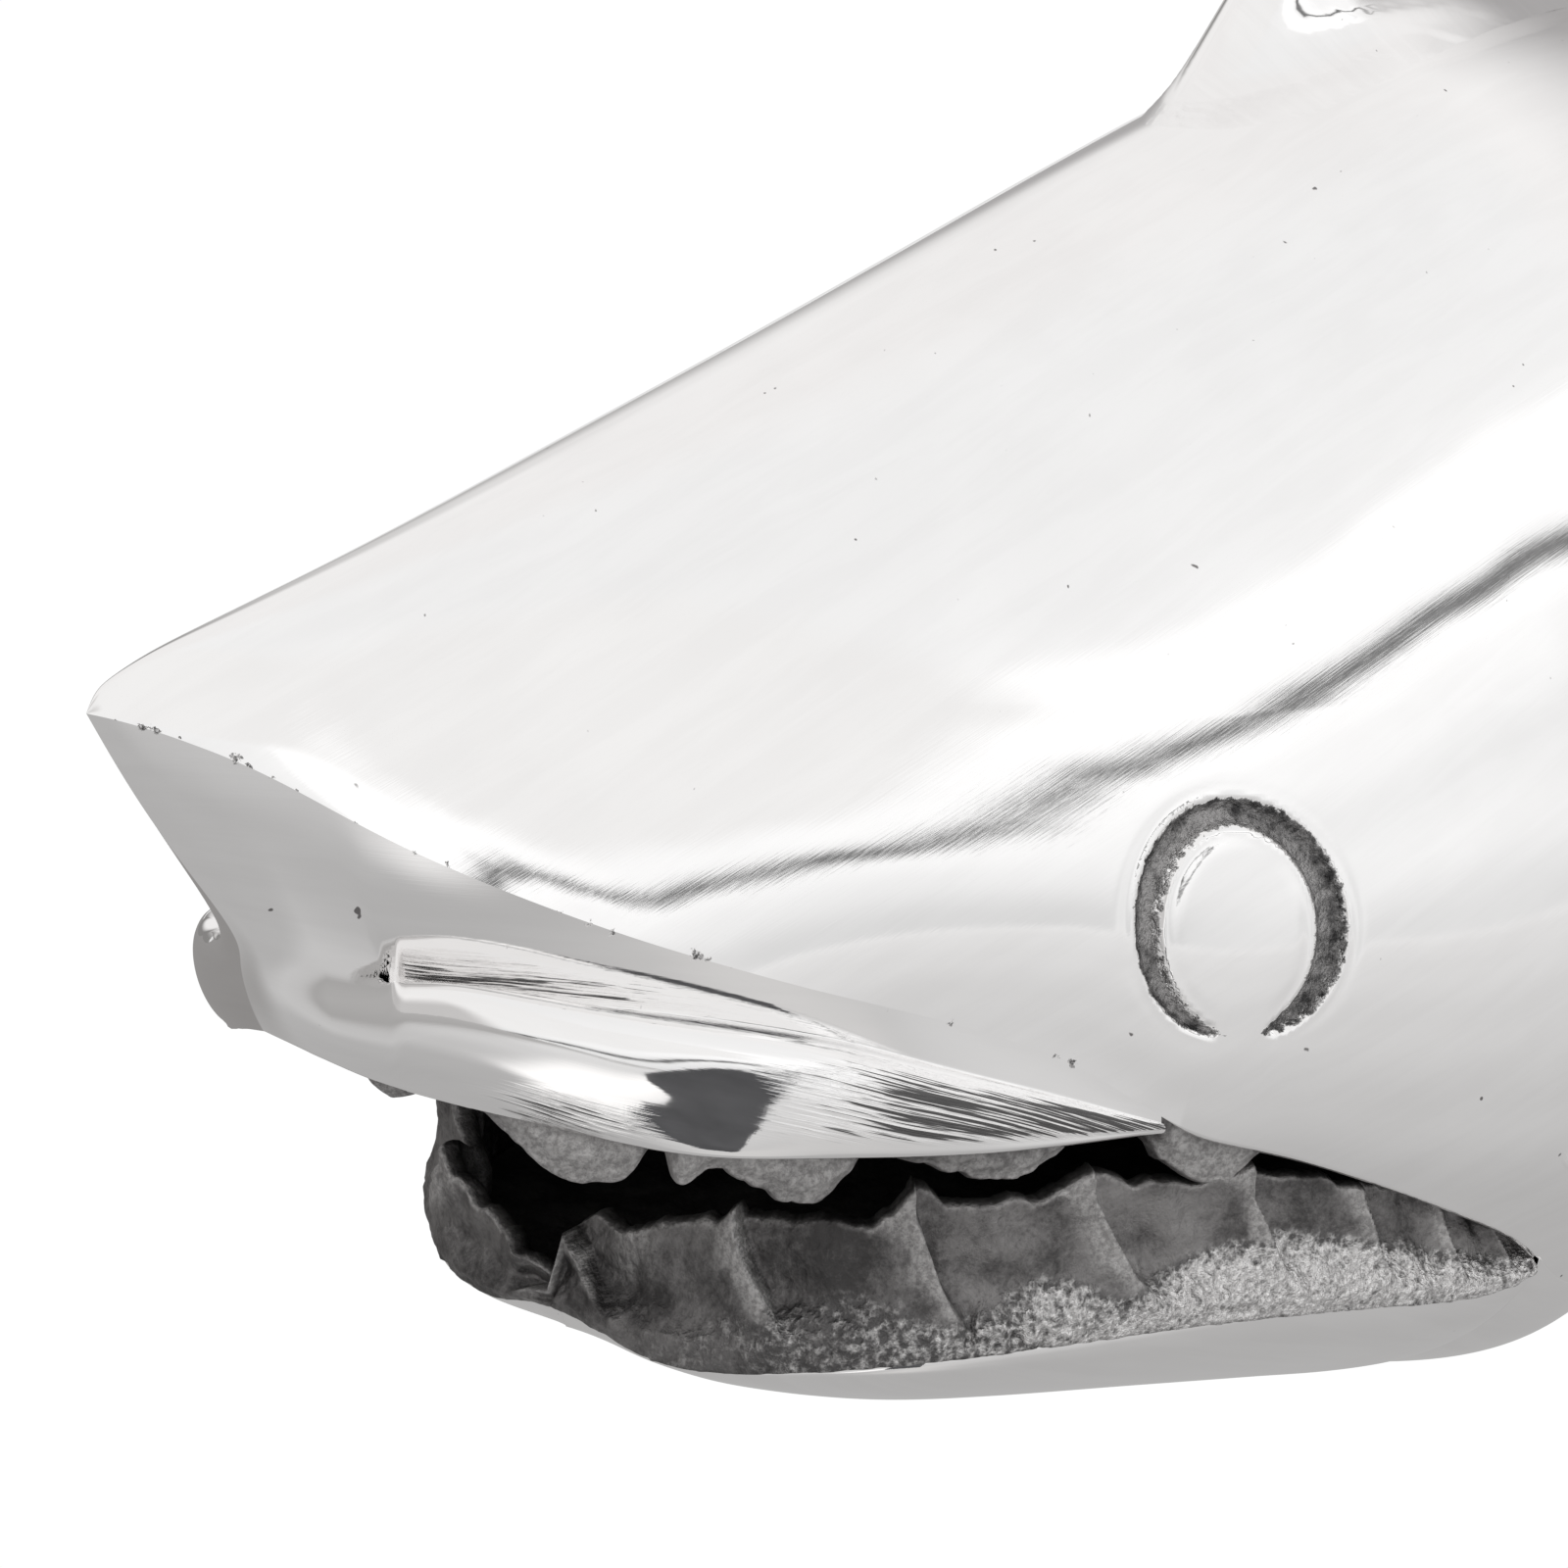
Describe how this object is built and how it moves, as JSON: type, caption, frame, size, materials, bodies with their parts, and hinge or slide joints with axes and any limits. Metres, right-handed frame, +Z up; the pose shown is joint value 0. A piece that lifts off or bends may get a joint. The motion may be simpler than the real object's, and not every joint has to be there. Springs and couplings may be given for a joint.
{
  "type": "shark sculpture",
  "caption": "Polished cast aluminium shark sculpture with an open toothed mouth, standing on its breast fins and the lower lobe of its tail.",
  "frame": {"origin": "on the table, under the middle of the shark's overall length and on its plane of symmetry", "axes": "+Z up, the nose towards -X and the tail towards +X, the shark's left side towards -Y"},
  "size_m": [1.0211, 0.475, 0.4197],
  "materials": {
    "polished_aluminium": "hand polished to a near mirror",
    "raw_cast_aluminium": "rough as cast, darkened, pitted",
    "mouth_patina": "rough as cast, blackened"
  },
  "bodies": {
    "root": {"back_casting": "polished_aluminium", "jaw_belly_casting": "polished_aluminium", "snout_underside": "polished_aluminium", "dorsal_fin": "polished_aluminium", "rear_dorsal_fin": "polished_aluminium", "anal_fin": "polished_aluminium", "tail_fin": "polished_aluminium", "pectoral_fin_left": "polished_aluminium", "pectoral_fin_right": "polished_aluminium", "pelvic_fin_left": "polished_aluminium", "pelvic_fin_right": "polished_aluminium", "upper_teeth": "raw_cast_aluminium", "lower_teeth": "raw_cast_aluminium", "mouth_roof": "mouth_patina", "mouth_floor": "mouth_patina"}
  },
  "joints": []
}
